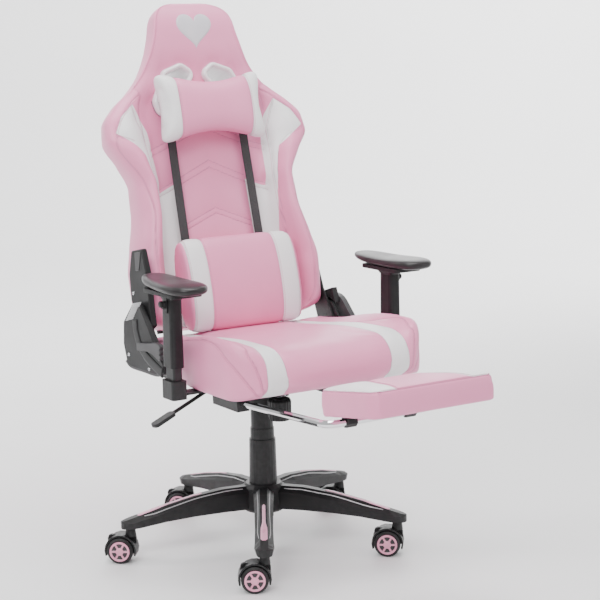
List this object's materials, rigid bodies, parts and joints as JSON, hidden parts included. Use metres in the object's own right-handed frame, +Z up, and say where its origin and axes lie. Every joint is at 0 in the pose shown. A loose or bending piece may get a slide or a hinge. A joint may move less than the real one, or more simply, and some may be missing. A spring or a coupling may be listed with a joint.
{
  "type": "gaming chair",
  "caption": "Racing-style gaming chair with star base, casters, gas lift, tilting seat, reclining back, pillows, lifting arms and a slide-out footrest.",
  "frame": {"origin": "middle of the chair's footprint, on the floor; the gas lift's axis stands at x 0.0147, y 0.1519", "axes": "+Z up; the sitter faces -Y; +X is the sitter's left"},
  "size_m": [0.7098, 1.0483, 1.2597],
  "materials": {
    "pink_leather": "soft satin synthetic leather, fine grain, stitched seams",
    "white_leather": "white synthetic leather panels between the pink ones",
    "black_plastic": "satin moulded nylon",
    "soft_black": "soft polyurethane skin",
    "black_steel": "satin black powder coat",
    "bright_steel": "ground bright steel",
    "chrome": "mirror chrome",
    "grey_plastic": "dark grey moulded plastic",
    "pink_plastic": "pink moulded inserts of the legs and wheels",
    "tyre": "black polyurethane tread",
    "black_webbing": "woven elastic strap",
    "white_plastic": "white moulded slot frame"
  },
  "bodies": {
    "base": {"base_star": "black_plastic", "lift_outer_tube": "black_steel", "cover_lower": "black_plastic"},
    "piston_rod": {"lift_piston_rod": "bright_steel", "thrust_bearing": "bright_steel"},
    "cover_slide": {"cover_middle": "black_plastic"},
    "mechanism": {"lift_pressure_tube": "bright_steel", "tilt_housing": "black_steel", "cover_upper": "black_plastic", "tilt_spring": "bright_steel", "tilt_pin": "bright_steel"},
    "tension_knob": {"tension_knob": "black_plastic"},
    "lever_bush": {"lever_bush": "black_steel"},
    "height_lever": {"height_lever": "black_steel", "height_lever_grip": "black_plastic"},
    "seat": {"seat_plate": "black_steel", "seat_pan": "black_steel", "seat_cushion": "pink_leather", "rail_guide_left": "black_plastic", "rail_guide_right": "black_plastic", "arm_bracket_left": "black_steel", "arm_bracket_right": "black_steel", "arm_shoe_left": "black_plastic", "arm_shoe_right": "black_plastic", "hinge_plate_left": "black_steel", "hinge_plate_right": "black_steel", "cover_seat_left": "grey_plastic", "cover_seat_right": "grey_plastic"},
    "back": {"back_cushion": "pink_leather", "back_frame": "black_steel", "head_pillow": "pink_leather", "lumbar_pillow": "pink_leather", "slot_ring_left": "white_plastic", "slot_ring_right": "white_plastic", "strap_left": "black_webbing", "strap_right": "black_webbing", "hinge_arm_left": "black_steel", "hinge_arm_right": "black_steel", "cover_back_left": "black_plastic", "cover_back_right": "black_plastic"},
    "recline_lever": {"recline_lever": "grey_plastic"},
    "footrest_rails": {"footrest_rails": "chrome"},
    "footrest_pad": {"footrest_pad": "pink_leather", "footrest_hinge": "black_plastic"},
    "arm_left": {"arm_sleeve_left": "black_plastic", "arm_pad_left": "soft_black"},
    "arm_button_left": {"arm_button_left": "black_plastic"},
    "arm_right": {"arm_sleeve_right": "black_plastic", "arm_pad_right": "soft_black"},
    "arm_button_right": {"arm_button_right": "black_plastic"},
    "caster_1": {"caster_1": "black_plastic"},
    "wheels_1": {"wheels_1": "tyre"},
    "caster_2": {"caster_2": "black_plastic"},
    "wheels_2": {"wheels_2": "tyre"},
    "caster_3": {"caster_3": "black_plastic"},
    "wheels_3": {"wheels_3": "tyre"},
    "caster_4": {"caster_4": "black_plastic"},
    "wheels_4": {"wheels_4": "tyre"},
    "caster_5": {"caster_5": "black_plastic"},
    "wheels_5": {"wheels_5": "tyre"}
  },
  "joints": [
    {"name": "seat_swivel", "type": "hinge", "parent": "base", "child": "piston_rod", "pos_m": [0.0147, 0.1519, 0.08], "axis": [0, 0, 1], "continuous": true},
    {"name": "seat_height", "type": "slide", "parent": "piston_rod", "child": "mechanism", "axis": [0, 0, 1], "range_m": [-0.045, 0.035]},
    {"name": "cover_telescope", "type": "slide", "parent": "piston_rod", "child": "cover_slide", "axis": [0, 0, 1], "range_m": [-0.0225, 0.0175]},
    {"name": "tension_knob_turn", "type": "hinge", "parent": "mechanism", "child": "tension_knob", "pos_m": [0.0147, 0.0719, 0.34], "axis": [0, 0, 1], "range_deg": [-720, 720]},
    {"name": "lever_lift", "type": "hinge", "parent": "mechanism", "child": "lever_bush", "pos_m": [-0.0453, 0.1399, 0.4], "axis": [0, 1, 0], "range_deg": [0, 4], "stiffness_Nm_per_rad": 3, "springref_deg": -5.73},
    {"name": "lever_pull", "type": "slide", "parent": "lever_bush", "child": "height_lever", "axis": [-1, 0, 0], "range_m": [0, 0.012]},
    {"name": "seat_tilt", "type": "hinge", "parent": "mechanism", "child": "seat", "pos_m": [0.0147, 0.1069, 0.398], "axis": [-1, 0, 0], "range_deg": [0, 12], "stiffness_Nm_per_rad": 130, "springref_deg": -14.32},
    {"name": "back_recline", "type": "hinge", "parent": "seat", "child": "back", "pos_m": [0.0147, 0.2369, 0.505], "axis": [-1, 0, 0], "range_deg": [-8, 55]},
    {"name": "recline_lever_lift", "type": "hinge", "parent": "seat", "child": "recline_lever", "pos_m": [-0.2673, 0.2019, 0.495], "axis": [-1, 0, 0], "range_deg": [0, 25], "stiffness_Nm_per_rad": 0.5, "springref_deg": -8.59},
    {"name": "footrest_slide", "type": "slide", "parent": "seat", "child": "footrest_rails", "axis": [0, 0.9986, -0.0523], "range_m": [0, 0.15]},
    {"name": "footrest_flip", "type": "hinge", "parent": "footrest_rails", "child": "footrest_pad", "pos_m": [0.0147, -0.3241, 0.4], "axis": [1, 0, 0], "range_deg": [0, 180]},
    {"name": "arm_height_left", "type": "slide", "parent": "seat", "child": "arm_left", "axis": [0, 0, 1], "range_m": [-0.027, 0.045]},
    {"name": "arm_button_press_left", "type": "slide", "parent": "arm_left", "child": "arm_button_left", "axis": [1, 0, 0], "range_m": [0, 0.003], "stiffness_N_per_m": 600},
    {"name": "arm_height_right", "type": "slide", "parent": "seat", "child": "arm_right", "axis": [0, 0, 1], "range_m": [-0.027, 0.045]},
    {"name": "arm_button_press_right", "type": "slide", "parent": "arm_right", "child": "arm_button_right", "axis": [-1, 0, 0], "range_m": [0, 0.003], "stiffness_N_per_m": 600},
    {"name": "caster_swivel_1", "type": "hinge", "parent": "base", "child": "caster_1", "pos_m": [-0.15059, -0.12211, 0.08], "axis": [0, 0, 1], "continuous": true},
    {"name": "wheel_roll_1", "type": "hinge", "parent": "caster_1", "child": "wheels_1", "pos_m": [-0.16964, -0.11111, 0.03], "axis": [-0.5, -0.866, 0], "continuous": true},
    {"name": "caster_swivel_2", "type": "hinge", "parent": "base", "child": "caster_2", "pos_m": [-0.29697, 0.22443, 0.08], "axis": [0, 0, 1], "continuous": true},
    {"name": "wheel_roll_2", "type": "hinge", "parent": "caster_2", "child": "wheels_2", "pos_m": [-0.31431, 0.23797, 0.03], "axis": [-0.6157, -0.788, 0], "continuous": true},
    {"name": "caster_swivel_3", "type": "hinge", "parent": "base", "child": "caster_3", "pos_m": [-0.01263, 0.47073, 0.08], "axis": [0, 0, 1], "continuous": true},
    {"name": "wheel_roll_3", "type": "hinge", "parent": "caster_3", "child": "wheels_3", "pos_m": [-0.02924, 0.48516, 0.03], "axis": [-0.6561, -0.7547, 0], "continuous": true},
    {"name": "caster_swivel_4", "type": "hinge", "parent": "base", "child": "caster_4", "pos_m": [0.30948, 0.27642, 0.08], "axis": [0, 0, 1], "continuous": true},
    {"name": "wheel_roll_4", "type": "hinge", "parent": "caster_4", "child": "wheels_4", "pos_m": [0.29238, 0.29026, 0.03], "axis": [-0.6293, -0.7771, 0], "continuous": true},
    {"name": "caster_swivel_5", "type": "hinge", "parent": "base", "child": "caster_5", "pos_m": [0.22422, -0.08997, 0.08], "axis": [0, 0, 1], "continuous": true},
    {"name": "wheel_roll_5", "type": "hinge", "parent": "caster_5", "child": "wheels_5", "pos_m": [0.20712, -0.07613, 0.03], "axis": [-0.6293, -0.7771, 0], "continuous": true}
  ],
  "couplings": [
    {"joint": "cover_telescope", "follows": "seat_height", "ratio": 0.5},
    {"joint": "footrest_flip", "follows": "footrest_slide", "rad_per_m": 20.944}
  ]
}
